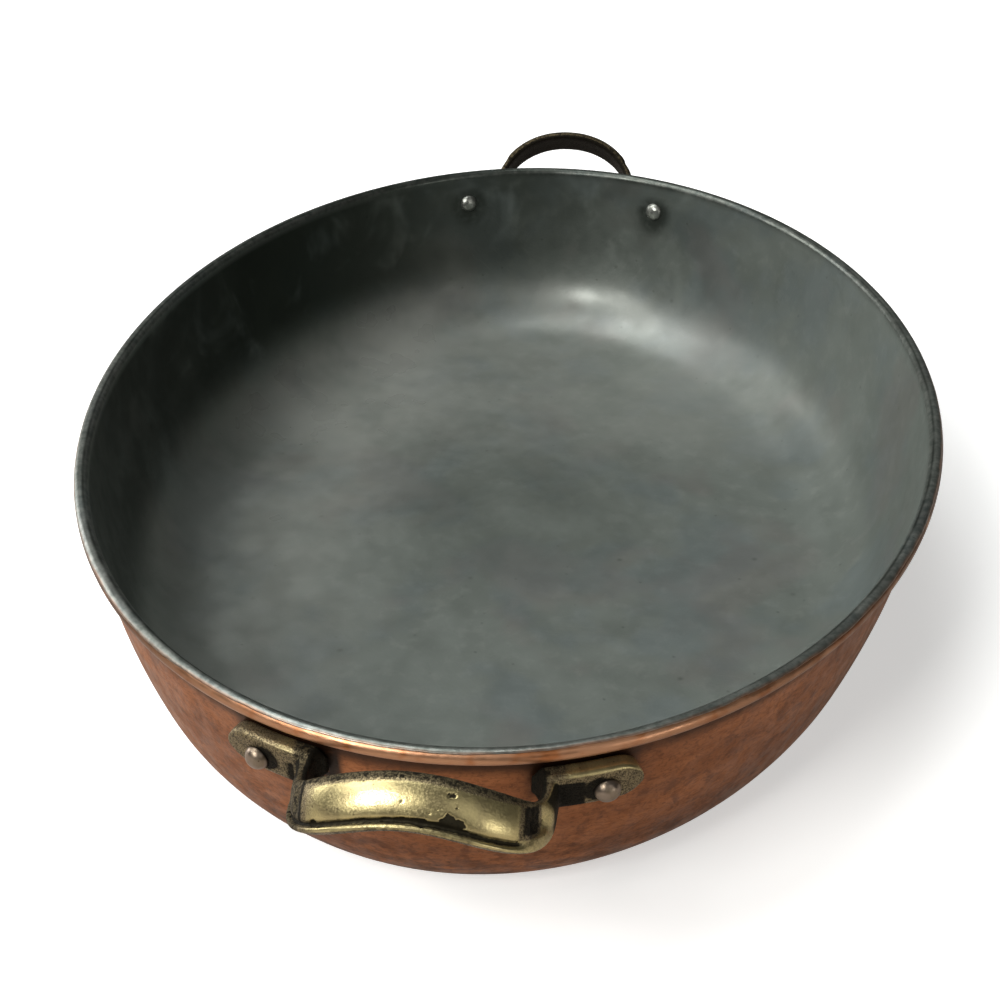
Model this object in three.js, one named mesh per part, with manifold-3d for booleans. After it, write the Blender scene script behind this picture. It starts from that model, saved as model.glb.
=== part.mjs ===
// Oval copper gratin pan, tinned inside, with a wired rim and two riveted cast brass handles.
// Millimetres, +Z up. The origin is the middle of the flat base, on the surface that the pan stands on.
// X runs across the pan and Y along it, from the front handle at -Y to the rear handle at +Y.

import * as THREE from 'three';
import { mergeVertices } from 'three/addons/utils/BufferGeometryUtils.js';
import Module from 'manifold-3d';

const wasm = await Module();
wasm.setup();

// Pan body
const rimLength = 400;
const rimWidth = 286;
const rimHeight = 69;
const copperThickness = 1.0;
const wallLean = THREE.MathUtils.degToRad(4);
const wallBow = 180;
const bottomRadius = 30;

// Rim rolled outwards round a wire
const wireDiameter = 2.0;
const wireClearance = 0.15;
const rollSlit = 0.4;

// Tin lining, which runs over the top of the rolled rim
const liningThickness = 0.3;
const liningGap = 0.15;
const liningTurn = THREE.MathUtils.degToRad(128);

// Rivets
const rivetSpacing = 84.5;
const rivetDrop = 13.5;
const shankDiameter = 5;
const outerHeadDiameter = 7;
const outerHeadHeight = 2.6;
const innerHeadDiameter = 7.4;
const innerHeadHeight = 2.0;
const seatGap = 0.3;
const headGap = 0.4;

// Handle ears, the two feet that lie on the wall
const earThickness = 5;
const earHeight = 11.5;
const earTip = 8.6;
const earLift = 0.8;
const earEdge = 1.2;
const earOverlap = 0.2;

// Handle loop, from one ear round to the other
const loopWidth = 61;
const loopReach = 21.9;
const loopRise = 17.9;
const loopSquareness = 3.5;
const loopFullness = 0.66;
const loopTilt = THREE.MathUtils.degToRad(46);
const armHeight = 8.4;
const gripHeight = 13.8;
const gripThickness = 3.6;
const gripCrown = 0.9;
const lipHeight = 2.2;
const lipDepth = 0.9;
const rootThickness = 5;
const rootStep = 0.4;
const rootLength = 8;

// Fineness of the round stretches
const ovalSteps = 80;
const wallSteps = 4;
const bottomSteps = 5;
const curlSteps = 8;
const liningSteps = 4;
const wireSides = 6;
const loopSteps = 30;
const earSteps = 8;
const rivetSides = 16;
const domeSteps = 3;

// The section of the sheet, in a plane square to the rim: x is the inset from the widest outline
// of the rim, y the height above the base.
const wireBore = wireDiameter / 2 + wireClearance;
const beadRadius = wireBore + copperThickness;
const beadCentre = new THREE.Vector2(beadRadius, rimHeight - beadRadius);
const wallTop = beadCentre.clone().add(slopeInwards(wallLean).multiplyScalar(wireBore));

// The wall bows out a little: one long arc from under the rim, then a short one round to the base
const bowCentre = wallTop.clone().add(slopeInwards(wallLean).multiplyScalar(wallBow));
const bottomSlope = Math.asin((bowCentre.y - bottomRadius) / (wallBow - bottomRadius));
const bottomCentre = bowCentre.clone().sub(slopeInwards(bottomSlope).multiplyScalar(wallBow - bottomRadius));

// The way inwards, square to the sheet, where it leans in by a slope from upright
function slopeInwards(slope) {
  return new THREE.Vector2(Math.cos(slope), Math.sin(slope));
}

// Points on an arc of the section, from one angle to another, both included
function arc(centre, radius, from, to, steps) {
  const points = [];
  for (let i = 0; i <= steps; i += 1) {
    const angle = from + (to - from) * i / steps;
    points.push(new THREE.Vector2(
      centre.x + radius * Math.cos(angle),
      centre.y + radius * Math.sin(angle),
    ));
  }
  return points;
}

// One face of the sheet at a depth below its outer face: bottom corner, then wall
function sheetFace(depth) {
  return [
    ...arc(bottomCentre, bottomRadius - depth, 1.5 * Math.PI, Math.PI + bottomSlope, bottomSteps),
    ...arc(bowCentre, wallBow - depth, Math.PI + bottomSlope, Math.PI + wallLean, wallSteps).slice(1, -1),
  ];
}

// A point of the oval: the rim's outline, an ellipse, moved inwards along its normal
function ovalPoint(angle, inset, height) {
  const normal = ovalNormal(angle);
  return new THREE.Vector3(
    rimWidth / 2 * Math.cos(angle) - inset * normal.x,
    rimLength / 2 * Math.sin(angle) - inset * normal.y,
    height,
  );
}

// The way out of the oval in plan, square to its outline
function ovalNormal(angle) {
  return new THREE.Vector2(rimLength * Math.cos(angle), rimWidth * Math.sin(angle)).normalize();
}

// The wall's slope from upright at a height on its outer face
function wallSlope(height) {
  return Math.asin((bowCentre.y - height) / wallBow);
}

// A point standing off the wall's outer face, square to it, at a height on that face
function wallPoint(angle, height, standOff) {
  const slope = wallSlope(height);
  const inset = bowCentre.x - (wallBow + standOff) * Math.cos(slope);
  return ovalPoint(angle, inset, height - standOff * Math.sin(slope));
}

// The way out of the wall, square to its outer face at a height
function wallNormal(angle, height) {
  const normal = ovalNormal(angle);
  const slope = wallSlope(height);
  return new THREE.Vector3(
    normal.x * Math.cos(slope),
    normal.y * Math.cos(slope),
    -Math.sin(slope),
  );
}

// The angle at the front end of the oval where the wall's outer face has the given x
function frontAngle(x, height) {
  const rounds = 12;
  const inset = wallPoint(-Math.PI / 2, height, 0).y + rimLength / 2;
  let angle = -Math.PI / 2;
  for (let i = 0; i < rounds; i += 1) {
    angle = -Math.acos((x + inset * ovalNormal(angle).x) * 2 / rimWidth);
  }
  return angle;
}

// A closed skin over rows of points. Each row is a closed loop that runs clockwise for someone who
// looks back from the last row. Rows that close on themselves join the last to the first. Other rows
// get an end cap at both ends.
function skin(rows, closed) {
  const size = rows[0].length;
  const points = rows.flat();
  const triangles = [];
  const spans = closed ? rows.length : rows.length - 1;
  for (let i = 0; i < spans; i += 1) {
    const row = i * size;
    const next = (i + 1) % rows.length * size;
    for (let j = 0; j < size; j += 1) {
      const k = (j + 1) % size;
      triangles.push(row + j, next + j, next + k);
      triangles.push(row + j, next + k, row + k);
    }
  }
  if (!closed) {
    addCap(points, triangles, 0, size, false);
    addCap(points, triangles, (rows.length - 1) * size, size, true);
  }
  return geometryFrom(points, triangles);
}

// A fan of triangles that closes one end row at its middle
function addCap(points, triangles, start, size, last) {
  const middle = new THREE.Vector3();
  for (let j = 0; j < size; j += 1) {
    middle.addScaledVector(points[start + j], 1 / size);
  }
  points.push(middle);
  for (let j = 0; j < size; j += 1) {
    const a = start + j;
    const b = start + (j + 1) % size;
    triangles.push(points.length - 1, last ? b : a, last ? a : b);
  }
}

// A dished sheet: a section swept round the oval, with its first and last points joined to the
// middle of the floor by flat fans
function dish(section) {
  const points = [];
  const triangles = [];
  for (let i = 0; i < ovalSteps; i += 1) {
    const angle = 2 * Math.PI * i / ovalSteps;
    section.forEach((place) => points.push(ovalPoint(angle, place.x, place.y)));
  }
  const size = section.length;
  const first = points.length;
  points.push(new THREE.Vector3(0, 0, section[0].y));
  points.push(new THREE.Vector3(0, 0, section[size - 1].y));
  for (let i = 0; i < ovalSteps; i += 1) {
    const row = i * size;
    const next = (i + 1) % ovalSteps * size;
    for (let j = 0; j < size - 1; j += 1) {
      triangles.push(row + j, next + j + 1, next + j);
      triangles.push(row + j, row + j + 1, next + j + 1);
    }
    triangles.push(first, row, next);
    triangles.push(first + 1, next + size - 1, row + size - 1);
  }
  return geometryFrom(points, triangles);
}

// An indexed mesh from its points and triangles
function geometryFrom(points, triangles) {
  const geometry = new THREE.BufferGeometry().setFromPoints(points);
  geometry.setIndex(triangles);
  return geometry;
}

// A solid for joining and cutting, from a closed mesh
function toSolid(source) {
  const geometry = source.clone();
  geometry.deleteAttribute('normal');
  geometry.deleteAttribute('uv');
  const merged = mergeVertices(geometry);
  return new wasm.Manifold(new wasm.Mesh({
    numProp: 3,
    vertProperties: new Float32Array(merged.attributes.position.array),
    triVerts: new Uint32Array(merged.index.array),
  }));
}

// The mesh of a joined or cut solid
function toGeometry(solid) {
  const mesh = solid.getMesh();
  const geometry = new THREE.BufferGeometry();
  geometry.setAttribute('position', new THREE.BufferAttribute(new Float32Array(mesh.vertProperties), 3));
  geometry.setIndex(new THREE.BufferAttribute(new Uint32Array(mesh.triVerts), 1));
  geometry.computeVertexNormals();
  return geometry;
}

// Rivet places, at both ends of the oval
const earLevel = rimHeight - rivetDrop;
const rivetAngles = {
  front_left: frontAngle(-rivetSpacing / 2, earLevel),
  front_right: frontAngle(rivetSpacing / 2, earLevel),
};
rivetAngles.rear_left = -rivetAngles.front_left;
rivetAngles.rear_right = -rivetAngles.front_right;

// Where a rivet's axis meets the wall's outer face
function rivetPlace(angle) {
  return wallPoint(angle, earLevel, 0);
}

// The turn that lays a rivet's axis square to the wall
function rivetTurn(angle) {
  return new THREE.Quaternion().setFromUnitVectors(new THREE.Vector3(0, 1, 0), wallNormal(angle, earLevel));
}

// The hole that a rivet's shank passes through, with its clearance
function rivetHole(angle) {
  const radius = shankDiameter / 2 + seatGap;
  const length = 4 * (earThickness + copperThickness);
  const hole = new THREE.CylinderGeometry(radius, radius, length, rivetSides);
  hole.applyQuaternion(rivetTurn(angle));
  const place = rivetPlace(angle);
  hole.translate(place.x, place.y, place.z);
  return toSolid(hole);
}

// A piece with the holes of the rivets at the given angles
function drill(geometry, angles) {
  let solid = toSolid(geometry);
  for (const angle of angles) {
    solid = solid.subtract(rivetHole(angle));
  }
  return toGeometry(solid);
}

// Copper sheet, raised in one piece, with its edge curled over the wire and under it
function copperBody() {
  const slitReach = (wireBore - rollSlit) / beadRadius;
  const curl = 2 * Math.PI - Math.acos(slitReach);
  const section = [
    ...sheetFace(copperThickness),
    ...arc(beadCentre, beadRadius, wallLean, wallLean + curl, curlSteps),
    ...arc(beadCentre, wireBore, wallLean + curl, wallLean, curlSteps),
    ...sheetFace(0).reverse(),
  ];
  return drill(dish(section), Object.values(rivetAngles));
}

// Tin over the whole inside and the top of the rim
function tinLining() {
  const back = copperThickness + liningGap;
  const front = back + liningThickness;
  const section = [
    ...sheetFace(front),
    ...arc(beadCentre, wireBore + front, wallLean, wallLean + liningTurn, liningSteps),
    ...arc(beadCentre, wireBore + back, wallLean + liningTurn, wallLean, liningSteps),
    ...sheetFace(back).reverse(),
  ];
  return drill(dish(section), Object.values(rivetAngles));
}

// Iron wire inside the rolled rim, all the way round
function rimWire() {
  const rows = [];
  for (let i = 0; i < ovalSteps; i += 1) {
    const angle = 2 * Math.PI * i / ovalSteps;
    const section = arc(beadCentre, wireDiameter / 2, 2 * Math.PI, 0, wireSides).slice(0, -1);
    rows.push(section.map((place) => ovalPoint(angle, place.x, place.y)));
  }
  return skin(rows, true);
}

// Smooth step from 0 to 1
function ease(value) {
  return THREE.MathUtils.smoothstep(value, 0, 1);
}

// The loop's middle line at a share of the way round, 0 at the left ear and 1 at the right.
// In plan it is a squared-off arch, and it rises to the middle of the grip.
function loopPoint(share) {
  const angle = Math.PI * share;
  const power = 2 / loopSquareness;
  const root = wallPoint(frontAngle(loopWidth / 2, earLevel), earLevel, seatGap + earThickness / 2);
  const reach = root.y + rimLength / 2 + loopReach;
  const across = Math.sign(Math.cos(angle)) * Math.abs(Math.cos(angle)) ** power;
  const rise = loopRise * Math.max(0, 1 - across * across) ** loopFullness;
  return new THREE.Vector3(
    -across * loopWidth / 2,
    root.y - reach * Math.sin(angle) ** power,
    root.z + earLift + rise,
  );
}

// The strap's section: a crowned outer face over a lip along its lower edge, and a plain back.
// x points out of the loop and y up the strap.
function strapSection(height, thickness, lip) {
  const top = height / 2;
  const face = thickness / 2;
  const ledge = lipHeight - top;
  const shape = new THREE.Shape();
  shape.moveTo(-face, -top + face / 2);
  shape.quadraticCurveTo(-face, -top, 0, -top);
  shape.quadraticCurveTo(face + lip, -top, face + lip, ledge - lipHeight / 2);
  shape.quadraticCurveTo(face + lip, ledge, face, ledge);
  shape.quadraticCurveTo(face + 2 * gripCrown, (ledge + top) / 2, face - gripCrown / 2, top - face / 2);
  shape.quadraticCurveTo(face / 2, top, 0, top);
  shape.quadraticCurveTo(-face, top, -face, top - face / 2);
  return shape.getPoints(2);
}

// The strap's section at a share of the way round, deeper and thicker where it leaves the ear
function strapRow(share) {
  const step = 0.001;
  const at = loopPoint(share);
  const ahead = loopPoint(Math.min(1, share + step));
  const behind = loopPoint(Math.max(0, share - step));
  const along = ahead.sub(behind).normalize();
  const up = new THREE.Vector3(0, Math.sin(loopTilt), Math.cos(loopTilt));
  up.addScaledVector(along, -up.dot(along)).normalize();
  const out = new THREE.Vector3().crossVectors(along, up);
  const middle = ease(Math.sin(Math.PI * share));
  const free = ease(Math.abs(at.y - loopPoint(0).y) / rootLength);
  const strapHeight = THREE.MathUtils.lerp(armHeight, gripHeight, middle);
  const height = THREE.MathUtils.lerp(earHeight - 2 * rootStep, strapHeight, free);
  const thickness = THREE.MathUtils.lerp(rootThickness, gripThickness, free);
  return strapSection(height, thickness, lipDepth * free).map(
    (place) => at.clone().addScaledVector(out, place.x).addScaledVector(up, place.y),
  );
}

// Shares that put the rows at even steps along the loop, so its square corners stay round
function evenShares() {
  const samples = 600;
  const lengths = [0];
  for (let i = 1; i <= samples; i += 1) {
    lengths.push(lengths[i - 1] + loopPoint(i / samples).distanceTo(loopPoint((i - 1) / samples)));
  }
  const shares = [];
  let sample = 0;
  for (let i = 0; i <= loopSteps; i += 1) {
    const wanted = lengths[samples] * i / loopSteps;
    while (lengths[sample] < wanted && sample < samples) {
      sample += 1;
    }
    shares.push(sample / samples);
  }
  return shares;
}

// One row of an ear: a bar's section with broken edges, standing on the wall
function earRow(x, half) {
  const edge = Math.min(earEdge, half / 2);
  const angle = frontAngle(x, earLevel);
  const section = [
    [-half, edge],
    [-half, earThickness - edge],
    [edge - half, earThickness],
    [half - edge, earThickness],
    [half, earThickness - edge],
    [half, edge],
    [half - edge, 0],
    [edge - half, 0],
  ];
  return section.map(([rise, out]) => wallPoint(angle, earLevel + earLift + rise, seatGap + out));
}

// One ear, bent to the wall's curve, from inside the arm to a rounded tip past the rivet.
// The side is -1 on the left and 1 on the right.
function ear(side) {
  const radius = earHeight / 2;
  const start = (loopWidth - rootThickness) / 2 - earOverlap;
  const end = rivetSpacing / 2 + earTip;
  const bend = (start + end - radius) / 2;
  const rows = [earRow(side * start, radius), earRow(side * bend, radius)];
  const bluntness = 0.5;
  for (let i = 0; i <= earSteps; i += 1) {
    const turn = Math.PI / 2 * i / (earSteps + bluntness);
    rows.push(earRow(side * (end - radius + radius * Math.sin(turn)), radius * Math.cos(turn)));
  }
  return skin(side > 0 ? rows : rows.reverse(), false);
}

// Cast brass handle for the front end, in one piece: two ears and the loop between them
function handle() {
  const loop = skin(evenShares().map(strapRow), false);
  const casting = toSolid(loop).add(toSolid(ear(-1))).add(toSolid(ear(1)));
  return drill(toGeometry(casting), [rivetAngles.front_left, rivetAngles.front_right]);
}

// A rivet's half-outline over one head, from its rim to the axis. The rise is negative inside.
function dome(diameter, rise, base) {
  const radius = diameter / 2;
  const sphere = (radius * radius + rise * rise) / (2 * Math.abs(rise));
  const reach = Math.asin(Math.min(1, radius / sphere));
  const points = [];
  for (let i = 0; i <= domeSteps; i += 1) {
    const angle = reach * (1 - i / domeSteps);
    const height = sphere * (Math.cos(angle) - Math.cos(reach));
    points.push(new THREE.Vector2(sphere * Math.sin(angle), base + Math.sign(rise) * height));
  }
  return points;
}

// Copper rivet, through the ear, the wall and the lining, with a domed head at both ends
function rivet() {
  const outerSeat = seatGap + earThickness + headGap;
  const innerSeat = -(copperThickness + liningGap + liningThickness + headGap);
  const shank = shankDiameter / 2;
  const outline = [
    ...dome(innerHeadDiameter, -innerHeadHeight, innerSeat).reverse(),
    new THREE.Vector2(shank, innerSeat),
    new THREE.Vector2(shank, outerSeat),
    ...dome(outerHeadDiameter, outerHeadHeight, outerSeat),
  ];
  return new THREE.LatheGeometry(outline, rivetSides);
}

const copper = new THREE.MeshStandardMaterial({ color: 0x9a6042, roughness: 0.38, metalness: 1 });
const tin = new THREE.MeshStandardMaterial({ color: 0x6f7670, roughness: 0.5, metalness: 0.8 });
const iron = new THREE.MeshStandardMaterial({ color: 0x4a4744, roughness: 0.6, metalness: 1 });
const brass = new THREE.MeshStandardMaterial({ color: 0xa8955a, roughness: 0.35, metalness: 1 });
const rivetMetal = new THREE.MeshStandardMaterial({ color: 0x9c8b7d, roughness: 0.35, metalness: 1 });

const pan = new THREE.Group();

// Adds one named piece with a material of its own
function addPiece(name, geometry, material) {
  const piece = new THREE.Mesh(geometry, material.clone());
  piece.name = name;
  pan.add(piece);
  return piece;
}

addPiece('copper_body', copperBody(), copper);
addPiece('tin_lining', tinLining(), tin);
addPiece('rim_wire', rimWire(), iron);

const handleShape = handle();
addPiece('front_handle', handleShape, brass);
addPiece('rear_handle', handleShape, brass).rotation.z = Math.PI;

for (const [place, angle] of Object.entries(rivetAngles)) {
  const piece = addPiece(`rivet_${place}`, rivet(), rivetMetal);
  piece.position.copy(rivetPlace(angle));
  piece.quaternion.copy(rivetTurn(angle));
}

export default pan;
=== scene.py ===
import math

import bpy
import numpy as np
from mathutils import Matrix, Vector, noise


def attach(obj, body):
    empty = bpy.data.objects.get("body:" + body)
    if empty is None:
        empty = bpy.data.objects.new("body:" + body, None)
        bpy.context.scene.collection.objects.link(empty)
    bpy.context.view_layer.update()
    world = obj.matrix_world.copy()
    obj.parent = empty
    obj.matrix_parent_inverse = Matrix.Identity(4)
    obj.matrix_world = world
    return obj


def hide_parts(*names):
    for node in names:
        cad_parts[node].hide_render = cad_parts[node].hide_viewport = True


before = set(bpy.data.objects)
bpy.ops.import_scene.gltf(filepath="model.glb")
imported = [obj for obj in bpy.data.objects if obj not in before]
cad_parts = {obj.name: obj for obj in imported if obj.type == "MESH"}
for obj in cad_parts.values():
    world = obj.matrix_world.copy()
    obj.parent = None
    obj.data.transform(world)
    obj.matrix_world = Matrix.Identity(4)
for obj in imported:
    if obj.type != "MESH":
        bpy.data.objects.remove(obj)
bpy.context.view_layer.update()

bl_info = {
    "name": "Oval Copper Gratin Pan",
    "version": (1, 0, 0),
    "blender": (4, 5, 0),
    "location": "View3D > Sidebar > Gratin Pan",
    "description": "Dresses the oval gratin pan: aged copper, wiped tin, cast brass handles and rivets",
    "category": "Add Mesh",
}

MM = 0.001
FULL_TURN = 2 * math.pi

# How nodes are laid out in the editor
NODE_COLUMNS = 8
NODE_WIDTH = 220
NODE_HEIGHT = 260

# Fineness of the meshes
OVAL_STEPS = 480
FLOOR_RINGS = 26
CORNER_STEPS = 16
WALL_STEPS = 22
BEAD_STEPS = 30
STRAP_ROWS = 180
PATH_STEPS = 4000
EAR_ROWS = 26
VOXEL = 0.34 * MM
WIRE_SIDES = 10
RIVET_SIDES = 56
HEAD_STEPS = 16

# The unevenness of the hand-raised wall: its depth, and the heights over which it fades out
DENT = 0.5 * MM
DENT_FADE_TOP = 12 * MM
DENT_FADE_FOOT = 20 * MM
# Waves round the oval, their phase, and their climb up the wall
DENT_WAVES = ((2, 0.9, 1.3), (3, 2.1, -2.2), (5, 4.0, 3.1), (8, 0.4, -4.7), (13, 5.2, 6.3), (19, 1.7, 8.9))

# The ragged edge of the tin: waves round the rim, their phase and size, and how far it strays
TIN_WAVES = ((7, 0.4, 1.0), (17, 2.0, 0.7), (41, 1.1, 0.5), (83, 0.0, 0.35), (131, 4.0, 0.25))
TIN_STRAY = math.radians(3.2)
# The tin thins at the end of its way over the rim, where copper starts to show
TIN_THIN_SHARE = 1 / 9
TIN_WORN_SHARE = 0.2
# The painted shade line where the tin turns over the rim: how far over the rim it runs, and its width
TIN_LINE = math.radians(50)
TIN_LINE_WIDTH = math.radians(9)

# Forms along the grip, in millimetres from its middle, with the right end above 0: start, rise,
# end and fall, or for the crease its middle and width
PAD = (-26.3, 2.4, 26.4, 1.8)
CREASE = (-26.4, 0.75)
HOLLOW = (25.8, 1.0, 29.8, 0.9)
COLLAR = (29.3, 0.7, 33.5, 1.5)
DIRTY_GROOVE = (-23, 3, 20, 3)
DIRTY_LIP = (-20, 4, 18, 4)
EAR_SHADE = (32, 1, 40, 1.6)
# Flaws of the front grip, in millimetres: place along and up its face, half-width and half-height
BLOW_HOLE = (10.8, -3.1, 3.9, 1.9)
SEAM = (5.0, -4.3, 15, 0.75)
NICK = (-22.3, -4.1, 1.1, 0.9)

# Depths of the casting's roughness
PIT_DEPTH = 0.30 * MM
GRAIN_DEPTH = 0.05 * MM
SWELL_DEPTH = 0.10 * MM
# How far the skin rises over its smoothed self where edges are rubbed most, and sinks where dirt is full
SHARP_EDGE = 0.16 * MM
DEEP_HOLLOW = 0.13 * MM
# Darkening all over the rear casting
REAR_DIRT = 0.62

# How much lower the strap is than the ear where they meet
ROOT_SET_IN = 0.8 * MM
# The wire is drawn a hair thinner than its solid, and the tin starts a hair off the copper
WIRE_SHARE = 0.99
TIN_OFF = 0.02 * MM
# Rivet heads sink into what they hold, and rise further by what the hammering takes off
HEAD_SINK = 0.1 * MM
OUTER_EXTRA = 0.35 * MM
INNER_EXTRA = 0.4 * MM
HEAD_FULLNESS = 0.92
# Hammer marks: sizes and depths as shares, across and along the rivet
MARK_ACROSS = 0.055
MARK_ALONG = 0.012

# Camera: metres, degrees, millimetres of lens on the sensor, and shift as a share of the frame
CAMERA_PLACE = (0.050686, -0.483043, 0.322954)
CAMERA_TURN = (57.61837, 0.50155, 8.28849)
CAMERA_LENS = 56.575
CAMERA_SENSOR = 36.0
CAMERA_SHIFT = (0.0473, 0.0021)

# Lights: name, azimuth from the front towards the right, elevation, distance, size, watts and colour
LIGHTS = (
    ("window", -33, 39, 2.2, 0.85, 35, (1.0, 0.99, 0.97)),
    ("left_sky", -84, 52, 2.2, 1.15, 18, (1.0, 1.0, 1.0)),
    ("upper_sky", -130, 70, 2.2, 1.3, 24, (0.98, 1.0, 1.0)),
    ("low_left", -110, 14, 2.2, 1.15, 19, (1.0, 1.0, 0.99)),
    ("right_card", 40, 36, 2.4, 1.2, 3, (1.0, 0.98, 0.95)),
    ("low_right", 52, 9, 2.4, 0.7, 6, (1.0, 0.98, 0.95)),
)
LIGHT_TARGET = Vector((0, 0, 0.04))
# The room: its colour, and how bright it is to the pan and to the camera
ROOM_COLOUR = (0.98, 0.99, 1.0, 1.0)
ROOM_GLOW = 0.015
BACKDROP = 0.70
FLOOR_HALF = 4.0
FLOOR_LEVEL = -0.1 * MM


def length(name, description, default):
    """A size in metres, given here in millimetres."""
    return bpy.props.FloatProperty(
        name=name, description=description, default=default * MM, min=0.0, precision=5,
        unit="LENGTH", subtype="DISTANCE",
    )


def angle(name, description, default):
    """An angle in radians, given here in degrees."""
    return bpy.props.FloatProperty(
        name=name, description=description, default=math.radians(default), unit="ROTATION", subtype="ANGLE"
    )


def colour(name, description, default):
    return bpy.props.FloatVectorProperty(
        name=name, description=description, default=default, size=3, min=0.0, max=1.0, subtype="COLOR"
    )


class PanSizes(bpy.types.PropertyGroup):
    """Sizes of the pan, the same as in the solid model."""

    rim_length: length("Rim length", "Outside length of the rolled rim", 400)
    rim_width: length("Rim width", "Outside width of the rolled rim", 286)
    rim_height: length("Rim height", "Top of the rolled rim above the table", 69)
    sheet: length("Copper thickness", "Thickness of the copper sheet", 1.0)
    wall_lean: angle("Wall lean", "Lean of the wall just under the rim", 4)
    wall_bow: length("Wall bow", "Radius of the wall's long outward curve", 180)
    bottom_radius: length("Bottom radius", "Radius of the corner between wall and base", 30)
    wire: length("Wire diameter", "Wire inside the rolled rim", 2.0)
    wire_clearance: length("Wire clearance", "Room round the wire", 0.15)
    roll_slit: length("Roll slit", "Gap where the roll meets the wall again", 0.4)
    tin: length("Tin thickness", "Thickness of the wiped tin", 0.3)
    tin_turn: angle("Tin turn", "How far the tin runs over the rolled rim", 119)


class HandleSizes(bpy.types.PropertyGroup):
    """Sizes of the handles and rivets, the same as in the solid model."""

    rivet_spacing: length("Rivet spacing", "Distance between the rivets of one handle", 84.5)
    rivet_drop: length("Rivet drop", "Rivets below the top of the rim", 13.5)
    shank: length("Shank diameter", "Diameter of a rivet's shank", 5)
    outer_head: length("Outer head", "Diameter of a rivet's outer head", 7)
    outer_rise: length("Outer head rise", "Height of the outer head", 2.6)
    inner_head: length("Inner head", "Diameter of a rivet's inner head", 7.4)
    inner_rise: length("Inner head rise", "Height of the inner head", 2.0)
    ear_thickness: length("Ear thickness", "Thickness of an ear", 5)
    ear_height: length("Ear height", "Height of an ear", 11.5)
    ear_tip: length("Ear tip", "From the rivet to the ear's rounded end", 8.6)
    ear_lift: length("Ear lift", "Ear's middle above the rivet", 0.8)
    loop_width: length("Loop width", "Width of the loop along its middle line", 61)
    loop_reach: length("Loop reach", "How far the loop stands out past the rim", 21.9)
    loop_rise: length("Loop rise", "How far the grip rises above the ears", 17.9)
    loop_squareness: bpy.props.FloatProperty(
        name="Loop squareness", description="2 is an ellipse in plan, more is squarer", default=3.5, min=2.0
    )
    loop_fullness: bpy.props.FloatProperty(
        name="Loop fullness", description="Less makes the arch rise sooner", default=0.66, min=0.1
    )
    loop_tilt: angle("Loop tilt", "Lean of the grip's face", 46)
    arm_height: length("Arm height", "Height of the strap at its arms", 8.4)
    grip_height: length("Grip height", "Height of the strap at the grip", 13.8)
    grip_thickness: length("Grip thickness", "Thickness of the strap", 3.6)
    lip: length("Lip", "How far the lower lip stands out", 0.9)
    root_length: length("Root length", "Length over which the arm thickens to the ear", 8)


class PanColours(bpy.types.PropertyGroup):
    """Colours of the finishes."""

    copper: colour("Copper", "Rubbed copper", (0.43, 0.164, 0.062))
    copper_brown: colour("Brown copper", "Browned copper", (0.184, 0.061, 0.021))
    copper_red: colour("Red-brown copper", "Red-brown mottles", (0.100, 0.033, 0.014))
    # Also the colour of the painted shade under and on the rim and towards the right end of the wall
    copper_dark: colour("Dark copper", "Darkest stains on the copper", (0.040, 0.017, 0.008))
    copper_bright: colour("Bright copper", "Rubbed copper on the rim", (0.52, 0.27, 0.15))
    # Dirt and painted shadow on the wall along the ears and beside the left arm
    seat_dirt: colour("Seat dirt", "Dirt on the wall along the ears", (0.008, 0.006, 0.004))
    tin: colour("Tin", "Wiped tin", (0.142, 0.160, 0.143))
    tin_cool: colour("Cool tin", "Bluish cast on the tin", (0.100, 0.128, 0.140))
    tin_rosy: colour("Rosy tin", "Reddish cast on the tin", (0.150, 0.132, 0.122))
    tin_dark: colour("Dark tin", "Tarnished tin", (0.055, 0.064, 0.052))
    # Also the colour of the painted light on the left and far floor
    tin_bright: colour("Bright tin", "Rubbed tin on the rim and in scratches", (0.30, 0.31, 0.28))
    # The colour of the painted shade on the tin's walls and rim, and of its painted shade line
    tin_smoked: colour("Smoked tin", "Old smoke and tarnish up the wall", (0.014, 0.019, 0.013))
    # Stains with painted shadow round the inner rivet heads
    rivet_stain: colour("Rivet stain", "Stains round the inner rivet heads", (0.012, 0.015, 0.011))
    # Also the colour of the painted light on the ears' tops
    brass: colour("Brass", "Rubbed brass", (0.56, 0.47, 0.23))
    brass_brown: colour("Brown brass", "Browned brass", (0.205, 0.160, 0.095))
    # Also the colour of the painted shade on the handles and round the rivets' feet
    brass_black: colour("Black brass", "Dirt in the hollows of the brass", (0.010, 0.009, 0.007))
    rivet: colour("Rivet", "Worn rivet head", (0.26, 0.205, 0.16))
    iron: colour("Iron", "Wire in the rim", (0.10, 0.095, 0.09))
    rust: colour("Rust", "Bloom on the wire", (0.085, 0.045, 0.025))
    floor: colour("Floor", "Plain pale floor", (0.86, 0.86, 0.85))
    floor_cloud: colour("Floor clouds", "Faint clouds on the floor", (0.80, 0.80, 0.80))
    floor_bounce: colour("Floor bounce", "The floor as the pan reflects it", (0.36, 0.33, 0.30))
    floor_glow: colour("Floor glow", "Light that the floor gives the pan", (0.30, 0.27, 0.24))


# Masks and curves


def ease(value):
    value = np.clip(value, 0, 1)
    return value * value * (3 - 2 * value)


def ramp(value, start, run):
    """Rises smoothly from 0 to 1 over a run in millimetres. With a run below 0 it falls to a start."""
    return ease((value - start * MM) / (run * MM))


def band(value, start, rise, end, fall):
    """1 between two places, with a smooth rise and fall inside them, all in millimetres."""
    return ramp(value, start, rise) * ramp(value, end, -fall)


def fading(distance, width):
    """1 as far as a border, and less with the distance past it, over a width in millimetres."""
    return np.exp(-np.clip(distance, 0, None) / (width * MM))


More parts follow.
